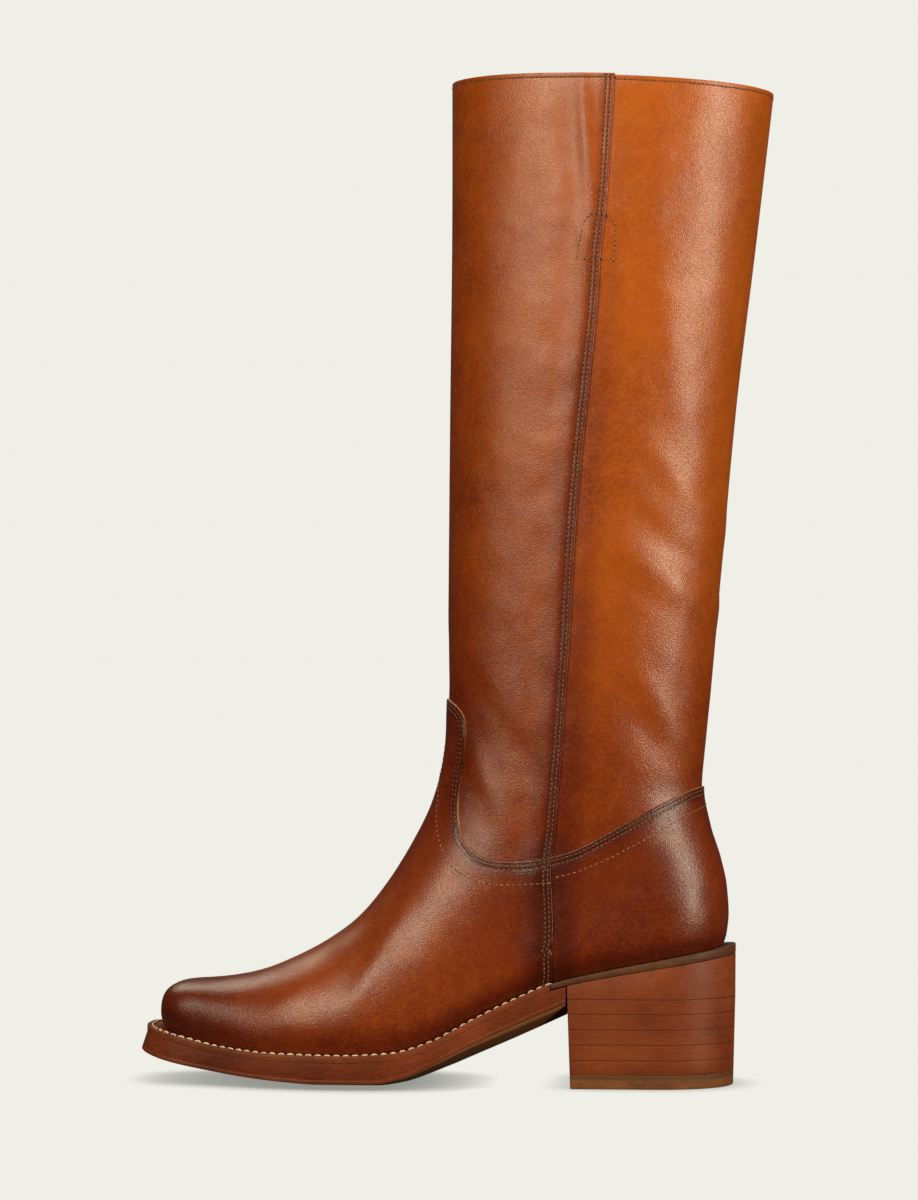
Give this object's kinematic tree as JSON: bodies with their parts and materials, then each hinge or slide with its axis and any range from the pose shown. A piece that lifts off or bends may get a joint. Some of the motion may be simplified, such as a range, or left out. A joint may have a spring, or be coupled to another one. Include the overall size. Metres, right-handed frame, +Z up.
{
  "type": "knee-high boot",
  "caption": "Knee-high pull-on leather boot with a square toe, stitched welt, arched leather sole and straight stacked block heel.",
  "frame": {"origin": "on the floor, under the middle of the boot's box", "axes": "+X towards the toe, +Y to the wearer's left (outer side of this boot), +Z up"},
  "size_m": [0.2848, 0.0934, 0.4476],
  "materials": {
    "upper": "burnished tan leather, semi-gloss, darker at toe, heel and edges",
    "welt": "dark reddish brown leather, waxed edge",
    "outsole": "reddish brown leather, polished edge",
    "heel_seat": "greyish brown leather, dull",
    "heel_stack": "stacked leather layers, waxed",
    "top_lift": "brown rubber, matte",
    "insole": "natural leather, dull",
    "pull_straps": "natural leather, dull",
    "lining": "natural leather, dull",
    "thread": "waxed thread"
  },
  "bodies": {
    "root": {"upper": "upper", "welt": "welt", "outsole": "outsole", "heel_seat": "heel_seat", "heel_stack": "heel_stack", "top_lift": "top_lift", "insole": "insole", "pull_strap_outer": "pull_straps", "pull_strap_inner": "pull_straps"}
  },
  "joints": []
}
